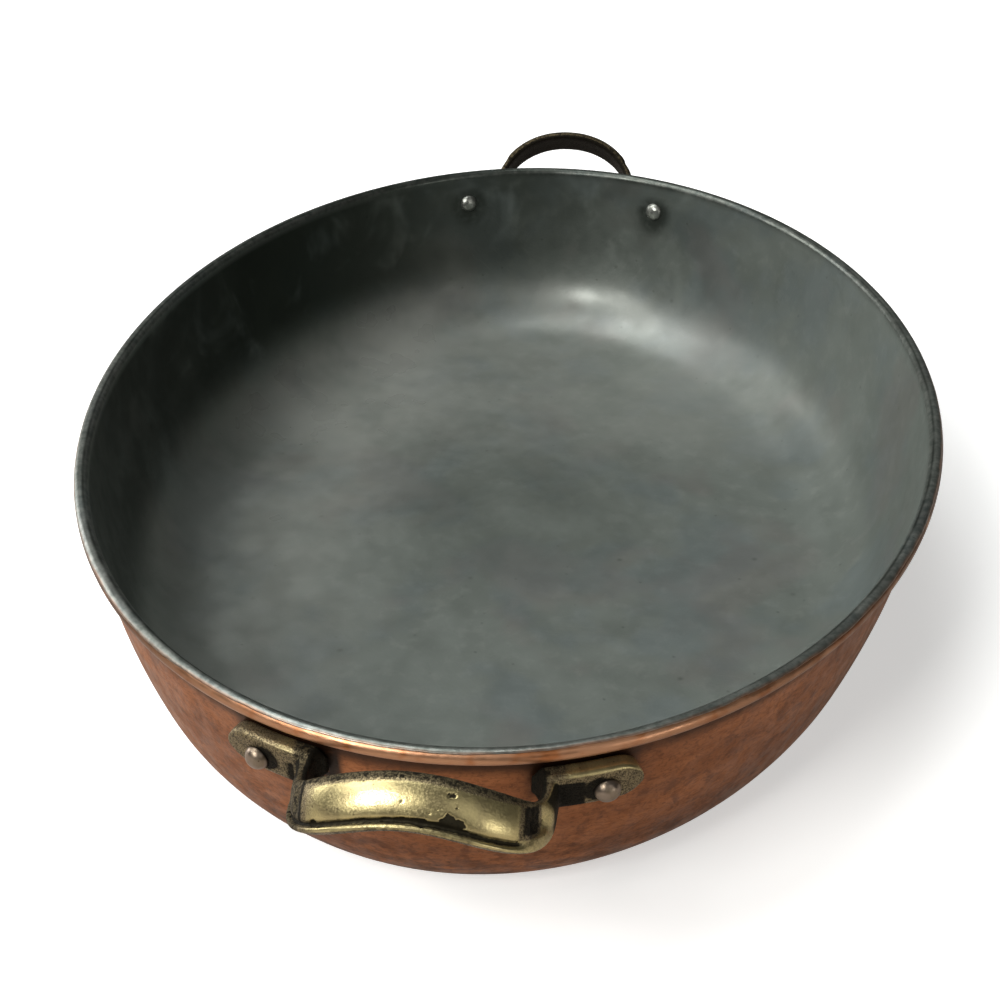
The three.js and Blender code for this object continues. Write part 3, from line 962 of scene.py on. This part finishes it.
def copper_finish(colours, rim_height):
    """Aged copper: rubbed on the rim, browned and mottled down the wall, stained near the base, and darkened
    with painted shade under the rim and on the sides away from the lamps.
    """
    f = Finish("aged_copper", colours.copper)
    height = f.height
    stretched = f.mapped(Scale=(1.0, 1.0, 3.2))
    low = f.times(f.range(height, 0.034, 0.004), f.range(height, -0.001, 0.006, 0.25, 1.0))
    tarnish = f.attribute("tarnish")
    f.coat(f.patches(24.0, 0.36, 0.64, detail=3.0, wander=0.012, where=stretched), 0.55, colours.copper_brown)
    f.coat(f.patches(120.0, 0.48, 0.68, detail=4.0, wander=0.02), 0.50, colours.copper_red)
    mottle = f.patches(300.0, 0.47, 0.61, detail=3.0, wander=0.008, where=stretched)
    f.coat(f.times(mottle, f.math("ADD", f.times(low, 0.35), 0.35)), 1, colours.copper_red)
    f.coat(f.patches(900.0, 0.52, 0.68), 0.30, colours.copper_dark)
    # Painted shade on the sides of the wall and rim away from the lamps
    f.coat(f.times(f.times(tarnish, tarnish), f.patches(45.0, 0.10, 0.60)), 0.60, colours.copper_dark)
    scorch = f.times(f.range(height, 0.003, 0.0), f.patches(16.0, 0.30, 0.70, detail=4.0))
    f.coat(scorch, 0.65, colours.copper_dark)
    f.coat(f.times(f.patches(75.0, 0.42, 0.56, detail=4.0, where=stretched), low), 0.75, colours.copper_dark)
    # Dirt and painted shadow along the ears and beside the left arm
    f.coat(f.times(f.attribute("seat"), f.patches(260.0, 0.10, 0.45)), 0.97, colours.seat_dirt)
    rim = f.range(height, rim_height - 5.0 * MM, rim_height - 4.1 * MM)
    f.coat(rim, 1, f.mix(f.patches(140.0, 0.45, 0.70), colours.copper_bright, colours.copper))
    # Painted shade under the rolled rim, and on the rim where the painted shade map is set
    soot = f.times(f.range(height, rim_height - 12.0 * MM, rim_height - 7.0 * MM), f.rest(rim))
    soot = f.math("MAXIMUM", soot, f.times(rim, tarnish))
    f.coat(f.times(soot, f.patches(60.0, 0.15, 0.50)), 0.92, colours.copper_dark)
    rough = f.between(f.patches(180.0, 0.3, 0.7), 0.38, 0.54)
    hammered = f.bump(f.noise(110.0), 0.00035, 0.5)
    normal = f.bump(f.noise(700.0, 1.0, where=stretched), 0.00006, 0.6, hammered)
    return f.done(f.math("SUBTRACT", rough, f.times(rim, 0.09)), 0.8, normal)


def tin_finish(colours, rim_height):
    """Old wiped tin: clouded grey with a faint cast of colours, scratches, pits and thin edges, with painted
    shade on the walls and rim, a painted shade line along the rim, and painted light on the floor.
    """
    f = Finish("wiped_tin", colours.tin)
    f.coat(f.patches(11.0, 0.35, 0.65, detail=3.0, wander=0.04), 0.22, colours.tin_dark)
    f.coat(f.patches(48.0, 0.40, 0.66, detail=4.0, wander=0.03), 0.16, colours.tin_dark)
    f.coat(f.patches(170.0, 0.50, 0.70, detail=3.0), 0.10, colours.tin_bright)
    f.coat(f.patches(21.0, 0.46, 0.60, detail=3.0), 0.30, colours.tin_cool)
    f.coat(f.patches(17.0, 0.50, 0.64, detail=3.0), 0.30, colours.tin_rosy)
    pits = f.math("MAXIMUM", f.pits(230.0, 0.20, 0.10), f.pits(80.0, 0.13, 0.25))
    f.coat(pits, 0.6, colours.tin_dark)
    f.coat(f.scratches((0.2, 0.1, 0.9), 1500.0, 22.0, 0.016), 0.12, colours.tin_bright)
    # Stains with painted shadow round the inner rivet heads
    f.coat(f.times(f.attribute("stain"), f.patches(150.0, 0.20, 0.55)), 0.85, colours.rivet_stain)
    f.coat(f.times(cooked_middle(f), f.patches(32.0, 0.25, 0.60, detail=3.0)), 0.50, colours.tin_dark)
    # Painted light on the left and far floor
    pale = f.times(f.attribute("pale"), f.patches(26.0, 0.15, 0.65, detail=3.0))
    f.coat(pale, 0.36, colours.tin_bright)
    rim = f.range(f.height, rim_height - 3.0 * MM, rim_height - 1.0 * MM)
    f.coat(f.times(rim, f.patches(420.0, 0.30, 0.70)), 0.60, colours.tin_bright)
    # Painted shade on the left and back walls and on the back of the rim
    tarnish = f.times(f.attribute("tarnish"), f.patches(34.0, 0.10, 0.50, detail=3.0, wander=0.03))
    f.coat(tarnish, 0.95, colours.tin_smoked)
    # Painted shade line where the wall turns into the rim
    f.coat(f.times(f.attribute("line"), f.patches(90.0, 0.20, 0.55)), 0.75, colours.tin_smoked)
    f.coat(f.times(f.attribute("edge"), f.patches(120.0, 0.2, 0.7)), 0.6, colours.copper)
    rough = f.between(f.patches(60.0, 0.3, 0.7), 0.37, 0.52)
    rough = f.math("SUBTRACT", rough, f.times(f.math("MAXIMUM", rim, pale), 0.08))
    normal = f.bump(f.noise(60.0), 0.0004, 0.30)
    normal = f.bump(f.noise(800.0, 1.0), 0.00005, 0.5, normal)
    normal = f.bump(f.rest(pits), 0.00008, 0.5, normal)
    return f.done(rough, f.between(f.math("ADD", rim, tarnish), 0.30, 0.75), normal)


def cooked_middle(f):
    """A darker patch right of the middle of the floor, where most was cooked."""
    spot = f.mapped(Location=(0.05, -0.35, 0.0), Scale=(13.0, 13.0, 0.0))
    return f.range(f.add("ShaderNodeVectorMath", {0: spot}, operation="LENGTH")["Value"], 1.15, 0.25)


def brass_finish(colours):
    """Worn cast brass: rubbed on the grip, brown and speckled at its edges, black in its hollows and where
    shade is painted, and brighter with painted light on the ears' tops.
    """
    f = Finish("cast_brass", colours.brass_brown)
    polish = f.attribute("polish")
    dull = f.rest(polish)
    speckle = f.patches(2300.0, 0.44, 0.62)
    coarse = f.patches(700.0, 0.44, 0.68, detail=3.0)
    clear = f.rest(f.patches(110.0, 0.38, 0.66, detail=4.0, wander=0.02))
    bright = f.range(f.math("ADD", polish, f.times(f.attribute("wear"), 0.4)), 0.15, 0.85)
    bright = f.times(bright, f.math("ADD", f.times(clear, 0.5), 0.62), clamp=True)
    f.coat(f.math("MAXIMUM", bright, f.times(f.rest(speckle), 0.16)), 1, colours.brass)
    f.coat(f.times(speckle, f.math("ADD", f.times(dull, 0.55), 0.08)), 1, colours.brass_black)
    f.coat(f.times(coarse, dull), 0.38, colours.brass_black)
    f.coat(f.pits(750.0, 0.30, 0.16), 0.6, colours.brass_black)
    # Dirt and painted shade from the casting's map
    dirt = f.range(f.math("ADD", f.attribute("grime"), f.times(coarse, 0.18)), 0.30, 0.85)
    f.coat(dirt, 0.96, colours.brass_black)
    rough = f.between(f.math("SUBTRACT", f.math("ADD", speckle, 1.0), polish), 0.29, 0.56, full=2.0)
    normal = f.bump(f.noise(1500.0, 2.0), 0.00007, 0.5)
    normal = f.bump(f.rest(f.times(speckle, dull)), 0.00012, 0.6, normal)
    return f.done(f.math("ADD", rough, f.times(dirt, 0.3), clamp=True), 0.92, normal)


def rivet_finish(colours):
    """Hammered rivet heads in brown patches, tinned inside, and dark round the foot, partly dirty and partly
    painted shade.
    """
    f = Finish("rivet_metal", colours.rivet)
    patch = f.patches(420.0, 0.40, 0.62, detail=3.0)
    f.coat(patch, 0.45, colours.brass_brown)
    f.coat(f.attribute("tinned"), 1, colours.tin_bright)
    f.coat(f.pits(900.0, 0.30, 0.2), 1, colours.copper_dark)
    f.coat(f.attribute("grime"), 1, colours.brass_black)
    normal = f.bump(f.noise(1800.0, 2.0), 0.00005, 0.5, f.bump(f.noise(600.0), 0.0003, 0.5))
    return f.done(f.between(patch, 0.29, 0.42), 0.85, normal)


def iron_finish(colours):
    """Plain iron wire with a brown bloom."""
    f = Finish("iron_wire", colours.iron)
    bloom = f.patches(300.0, 0.45, 0.65)
    f.coat(bloom, 1, colours.rust)
    return f.done(f.between(bloom, 0.45, 0.75), 0.85, f.bump(f.noise(1500.0, 3.0), 0.00005))


def floor_finish(colours):
    """A plain pale floor. It is paler to the camera than to the metals that reflect it."""
    f = Finish("pale_floor", colours.floor)
    seen = f.add("ShaderNodeLightPath")["Is Camera Ray"]
    f.coat(f.patches(3.0, 0.3, 0.7), 0.06, colours.floor_cloud)
    f.colour = f.mix(seen, colours.floor_bounce, f.colour)
    f.give(f.surface.inputs["Emission Color"], f.mix(seen, colours.floor_glow, colours.floor))
    f.surface.inputs["Emission Strength"].default_value = 0.60
    return f.done(0.7)


# Operators


def pan_shape(context):
    return PanShape(context.scene.pan_sizes)


def handle_shape(context):
    return HandleShape(pan_shape(context), context.scene.handle_sizes)


def rivet_places(handle):
    """The turn round the oval at which each rivet sits."""
    front = float(handle.pan.front_turn(np.array(handle.s.rivet_spacing / 2), handle.level))
    return {
        "front_left": -math.pi - front, "front_right": front,
        "rear_left": math.pi + front, "rear_right": -front,
    }


def dress(piece, material):
    piece.data.materials.clear()
    piece.data.materials.append(material)
    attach(piece, "root")


class GRATIN_OT_copper(bpy.types.Operator):
    """Build the copper body with its rolled rim"""

    bl_idname = "gratin.copper"
    bl_label = "Copper body"

    def execute(self, context):
        shape = pan_shape(context)
        curl = FULL_TURN - math.acos((shape.bore - shape.slit) / shape.bead)
        outline = np.concatenate([
            shape.face(shape.sheet),
            arc(shape.bead_centre, shape.bead, shape.lean, shape.lean + curl, BEAD_STEPS),
            arc(shape.bead_centre, shape.bore, shape.lean + curl, shape.lean, BEAD_STEPS // 2),
            shape.face(0)[::-1],
        ])
        piece = shell_object("copper_skin", shape, all_round(outline))
        points, _, _ = mesh_arrays(piece.data)
        # Painted shade round the oval, on the rim except at the front, and on the wall towards its right end
        # and back
        around = [-180, -150, -128, -114, -100, -80, -50, -15, 25, 60, 100, 180]
        rim = round_the_oval(shape, points, around, [1, 1, 0.9, 0.3, 0, 0, 0.5, 1, 1, 0.7, 0.7, 1])
        wall = round_the_oval(shape, points, around, [0.1, 0, 0, 0, 0, 0, 0.3, 1, 0.9, 0.5, 0.4, 0.2])
        top = ramp(points[:, 2] - shape.bead_centre[1], -3.5, 1)
        seat = self.seat_dirt(handle_shape(context), points)
        set_maps(piece, tarnish=rim * top + wall * (1 - top), seat=seat)
        dress(piece, copper_finish(context.scene.pan_colours, context.scene.pan_sizes.rim_height))
        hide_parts("copper_body")
        return {"FINISHED"}

    @staticmethod
    def seat_dirt(handle, points):
        """Dirt and painted shadow on the wall along the borders of the ears, and a painted shadow of the left
        arm in the nook beside it.
        """
        s = handle.s
        local = points * np.where(points[:, 1] > 0, -1, 1)[:, None] * np.array([1, 1, 0])
        rise = np.abs(points[:, 2] - handle.level - s.ear_lift) - s.ear_height / 2
        inner = handle.inner_face() - handle.web
        outer = s.rivet_spacing / 2 + s.ear_tip
        across = np.maximum(inner - np.abs(local[:, 0]), np.abs(local[:, 0]) - outer)
        # Dirt and painted shadow along the ears' borders
        border = fading(np.maximum(rise, across), 1.3)
        # Painted shadow of the left arm on the wall beside it
        beside = (local[:, 0] < 0) * (local[:, 0] > -inner - 2 * MM)
        nook = beside * fading(local[:, 0] + inner - 2.2 * MM, 0.7) * fading(rise, 2.0)
        at_ends = np.abs(points[:, 1]) > 0.6 * handle.pan.half_length
        return np.clip(0.75 * border + nook, 0, 1) * at_ends


class GRATIN_OT_tin(bpy.types.Operator):
    """Build the wiped tin over the inside and the top of the rim"""

    bl_idname = "gratin.tin"
    bl_label = "Tin lining"

    def execute(self, context):
        shape = pan_shape(context)
        sizes = context.scene.pan_sizes
        back = shape.sheet + TIN_OFF
        front = back + 0.5 * sizes.tin
        face = shape.face(front)
        piece = shell_object("tin_skin", shape, np.concatenate([
            all_round(face), *self.over_rim(shape, sizes, back, front), all_round(shape.face(back)[::-1]),
        ]))
        points, _, _ = mesh_arrays(piece.data)
        shares = np.concatenate([np.linspace(0, 1, BEAD_STEPS + 1), np.linspace(1, 0, BEAD_STEPS + 1)[1:]])
        start = (len(face) + FLOOR_RINGS - 1) * OVAL_STEPS
        over = slice(start, start + len(shares) * OVAL_STEPS)
        # The painted shade line where the tin turns over the rim
        past_line = (shares * sizes.tin_turn - TIN_LINE) / TIN_LINE_WIDTH
        edge, line = np.zeros((2, len(points)))
        edge[over] = np.repeat(np.maximum(0, (shares - 1 + TIN_WORN_SHARE) / TIN_WORN_SHARE), OVAL_STEPS)
        line[over] = np.repeat(np.exp(-past_line ** 2), OVAL_STEPS)
        # Painted shade round the oval, on the left and back walls and on the back of the rim
        around = [-180, -150, -125, -60, 30, 60, 90, 120, 150, 180]
        wall = round_the_oval(shape, points, around, [0.95, 0.65, 0, 0, 0.05, 0.25, 0.60, 0.88, 1, 0.95])
        wall = wall * ramp(points[:, 2], 8, 26)
        rim = round_the_oval(shape, points, around, [0.05, 0, 0, 0.1, 0.2, 0.5, 0.75, 0.75, 0.4, 0.05])
        top = ramp(points[:, 2] - sizes.rim_height, -4, 2)
        tarnish = wall * (1 - top) + rim * top
        # Painted light on the left and far floor, fading up the wall
        pale = ramp(points[:, 1], 40, 50) + 1.3 * ramp(points[:, 0], -30, -45)
        pale = pale * ramp(points[:, 2], 28, -16)
        set_maps(piece, edge=edge, line=line, tarnish=tarnish, pale=pale, stain=self.stain(context, points))
        dress(piece, tin_finish(context.scene.pan_colours, sizes.rim_height))
        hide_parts("tin_lining")
        return {"FINISHED"}

    @staticmethod
    def over_rim(shape, sizes, back, front):
        """The tin over the rolled rim and back under itself, thin at its ragged edge."""
        turns = oval_turns()
        around = [0, 40, 90, 140, 180, 215, 232, 248, 264, 290, 320, 360]
        further = [24, 26, 26, 30, 36, 38, 28, 10, 0, 0, 14, 24]
        reach = sizes.tin_turn + np.radians(np.interp(np.degrees(turns), around, further))
        waves = [size * np.sin(count * turns + phase) for count, phase, size in TIN_WAVES]
        reach = reach + TIN_STRAY * sum(waves)
        left = np.linspace(1, 0, BEAD_STEPS + 1)[:, None]
        top = shape.bore + back + (front - back) * np.sqrt(np.clip(left / TIN_THIN_SHARE, 0, 1))
        crest = arc(shape.bead_centre, top, shape.lean, shape.lean + reach, BEAD_STEPS)
        under = arc(shape.bead_centre, shape.bore + back, shape.lean + reach, shape.lean, BEAD_STEPS)
        return crest, under[1:]

    @staticmethod
    def stain(context, points):
        """Tarnish that has crept out from under the inner rivet heads, with painted shadow under them, mostly
        downwards.
        """
        handle = handle_shape(context)
        stain = np.zeros(len(points))
        for place in rivet_places(handle).values():
            centre = handle.pan.wall(place, handle.level, -handle.pan.sheet)
            gap = points - centre
            gap[:, 2] *= np.where(gap[:, 2] < 0, 0.75, 1.3)
            stain = np.maximum(stain, ramp(np.linalg.norm(gap, axis=1), 10, -5))
        return stain


class GRATIN_OT_wire(bpy.types.Operator):
    """Build the iron wire inside the rolled rim"""

    bl_idname = "gratin.wire"
    bl_label = "Rim wire"

    def execute(self, context):
        shape = pan_shape(context)
        turns = oval_turns()[::2]
        radius = context.scene.pan_sizes.wire / 2 * WIRE_SHARE
        ring = arc(shape.bead_centre, radius, 0, FULL_TURN, WIRE_SIDES)[:-1]
        rows = np.stack([shape.place(turns, inset, height) for inset, height in ring], axis=1)
        faces = grid_faces(len(turns), WIRE_SIDES, closed_rows=True)
        piece = mesh_object("wire_in_rim", rows.reshape(-1, 3), faces)
        dress(piece, iron_finish(context.scene.pan_colours))
        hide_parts("rim_wire")
        return {"FINISHED"}


class GRATIN_OT_handles(bpy.types.Operator):
    """Build both cast brass handles"""

    bl_idname = "gratin.handles"
    bl_label = "Brass handles"

    def execute(self, context):
        handle = handle_shape(context)
        points, faces = merged([lofted(handle.strap()), lofted(handle.ear(-1)), lofted(handle.ear(1))])
        material = brass_finish(context.scene.pan_colours)
        castings = (("front_casting", "front_handle", 1, 3.7), ("rear_casting", "rear_handle", -1, 11.3))
        for name, node, sign, seed in castings:
            piece = mesh_object(name, points * np.array([sign, sign, 1]), faces)
            fused_mesh(piece)
            age_casting(piece, handle, sign, seed)
            dress(piece, material)
            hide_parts(node)
        return {"FINISHED"}


class GRATIN_OT_rivets(bpy.types.Operator):
    """Build the rivets, each with a hammered head at both ends"""

    bl_idname = "gratin.rivets"
    bl_label = "Rivets"

    def execute(self, context):
        handle = handle_shape(context)
        sizes = context.scene.handle_sizes
        pan = handle.pan
        material = rivet_finish(context.scene.pan_colours)
        outer_seat = handle.seat + sizes.ear_thickness - HEAD_SINK
        inner_seat = -(pan.sheet + HEAD_SINK)
        outline = np.concatenate([
            self.head(sizes.inner_head / 2, -sizes.inner_rise - INNER_EXTRA, inner_seat)[::-1],
            [(sizes.shank / 2, inner_seat), (sizes.shank / 2, outer_seat)],
            self.head(sizes.outer_head / 2, sizes.outer_rise + OUTER_EXTRA, outer_seat),
        ])
        # Dirt and painted shade on the heads where they meet the ear and the wall
        along = np.repeat(outline[1:-1, 1], RIVET_SIDES)
        over = np.maximum(along - outer_seat, inner_seat - along)
        grime = np.append(np.clip(1 - over / (0.7 * MM), 0, 1), [0, 0])
        tinned = np.append(along < inner_seat, [1, 0])
        for seed, (place, turn) in enumerate(rivet_places(handle).items()):
            points, faces = self.turned(outline, 5.0 + 3.1 * seed)
            normal = pan.wall_normal(turn, handle.level)
            turned = Vector((0, 0, 1)).rotation_difference(normal).to_matrix()
            points = points @ np.array(turned).T + pan.wall(turn, handle.level, 0)
            piece = mesh_object(f"rivet_{place}_head", points, faces)
            set_maps(piece, grime=grime, tinned=tinned)
            dress(piece, material)
            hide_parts(f"rivet_{place}")
        return {"FINISHED"}

    @staticmethod
    def head(radius, rise, seat):
        """Half-outline of a domed head, from its foot to the axis."""
        turn = np.linspace(0, math.pi / 2, HEAD_STEPS + 1)
        return np.stack([radius * np.cos(turn) ** HEAD_FULLNESS, seat + rise * np.sin(turn)], 1)

    @staticmethod
    def turned(outline, seed):
        """A lathe-turned piece about Z, with hammer marks on its heads."""
        points = []
        for across, along in outline[1:-1]:
            for turn in np.linspace(0, FULL_TURN, RIVET_SIDES, endpoint=False):
                point = Vector((across * math.cos(turn), across * math.sin(turn), along))
                wider = 1 + MARK_ACROSS * noise.noise(point * 260 + Vector((seed, seed, seed)))
                longer = 1 + MARK_ALONG * noise.noise(point * 300)
                points.append((point.x * wider, point.y * wider, along * longer))
        points += [(0, 0, outline[0][1]), (0, 0, outline[-1][1])]
        return np.array(points), capped_faces(len(outline) - 2, RIVET_SIDES)


class GRATIN_OT_stage(bpy.types.Operator):
    """Set the floor, the lights and the camera"""

    bl_idname = "gratin.stage"
    bl_label = "Floor, lights and camera"

    def execute(self, context):
        self.floor(context)
        self.lights(context)
        self.camera(context)
        return {"FINISHED"}

    @staticmethod
    def floor(context):
        corners = ((-1, -1), (1, -1), (1, 1), (-1, 1))
        points = np.array([(x * FLOOR_HALF, y * FLOOR_HALF, FLOOR_LEVEL) for x, y in corners])
        floor = mesh_object("floor", points, [(0, 1, 2, 3)])
        floor.data.materials.append(floor_finish(context.scene.pan_colours))

    @staticmethod
    def lights(context):
        world = bpy.data.worlds.new("studio")
        context.scene.world = world
        world.use_nodes = True
        world.node_tree.nodes.clear()
        nodes = Nodes(world.node_tree)
        strength = nodes.between(nodes.add("ShaderNodeLightPath")["Is Camera Ray"], ROOM_GLOW, BACKDROP)
        background = nodes.add("ShaderNodeBackground", {"Color": ROOM_COLOUR, "Strength": strength})[0]
        nodes.add("ShaderNodeOutputWorld", {"Surface": background})
        for name, azimuth, elevation, distance, size, watts, tint in LIGHTS:
            light = bpy.data.lights.new(name, "AREA")
            light.shape = "SQUARE"
            light.size = size
            light.energy = watts
            light.color = tint
            lamp = bpy.data.objects.new(name, light)
            around = math.radians(azimuth)
            above = math.radians(elevation)
            lamp.location = LIGHT_TARGET + distance * Vector((
                math.sin(around) * math.cos(above), -math.cos(around) * math.cos(above), math.sin(above),
            ))
            lamp.rotation_euler = (LIGHT_TARGET - lamp.location).to_track_quat("-Z", "Y").to_euler()
            context.collection.objects.link(lamp)

    @staticmethod
    def camera(context):
        data = bpy.data.cameras.new("camera")
        data.sensor_width = CAMERA_SENSOR
        data.lens = CAMERA_LENS
        data.shift_x, data.shift_y = CAMERA_SHIFT
        camera = bpy.data.objects.new("camera", data)
        camera.location = CAMERA_PLACE
        camera.rotation_euler = [math.radians(value) for value in CAMERA_TURN]
        context.collection.objects.link(camera)
        context.scene.camera = camera
        context.scene.view_settings.view_transform = "Standard"


class GRATIN_PT_build(bpy.types.Panel):
    """Lists the steps that build the pan"""

    bl_label = "Gratin Pan"
    bl_idname = "GRATIN_PT_build"
    bl_space_type = "VIEW_3D"
    bl_region_type = "UI"
    bl_category = "Gratin Pan"

    def draw(self, context):
        for settings in (context.scene.pan_sizes, context.scene.handle_sizes, context.scene.pan_colours):
            column = self.layout.column(align=True)
            for name in settings.__annotations__:
                column.prop(settings, name)
        for operator in OPERATORS:
            self.layout.operator(operator.bl_idname)


OPERATORS = (
    GRATIN_OT_copper, GRATIN_OT_tin, GRATIN_OT_wire, GRATIN_OT_handles, GRATIN_OT_rivets, GRATIN_OT_stage,
)
CLASSES = (PanSizes, HandleSizes, PanColours, *OPERATORS, GRATIN_PT_build)
SETTINGS = {"pan_sizes": PanSizes, "handle_sizes": HandleSizes, "pan_colours": PanColours}


def register():
    for item in CLASSES:
        bpy.utils.register_class(item)
    for name, group in SETTINGS.items():
        setattr(bpy.types.Scene, name, bpy.props.PointerProperty(type=group))


def unregister():
    for name in SETTINGS:
        delattr(bpy.types.Scene, name)
    for item in reversed(CLASSES):
        bpy.utils.unregister_class(item)


def main():
    register()
    for operator in OPERATORS:
        area, name = operator.bl_idname.split(".")
        getattr(getattr(bpy.ops, area), name)()


if __name__ == "__main__":
    main()
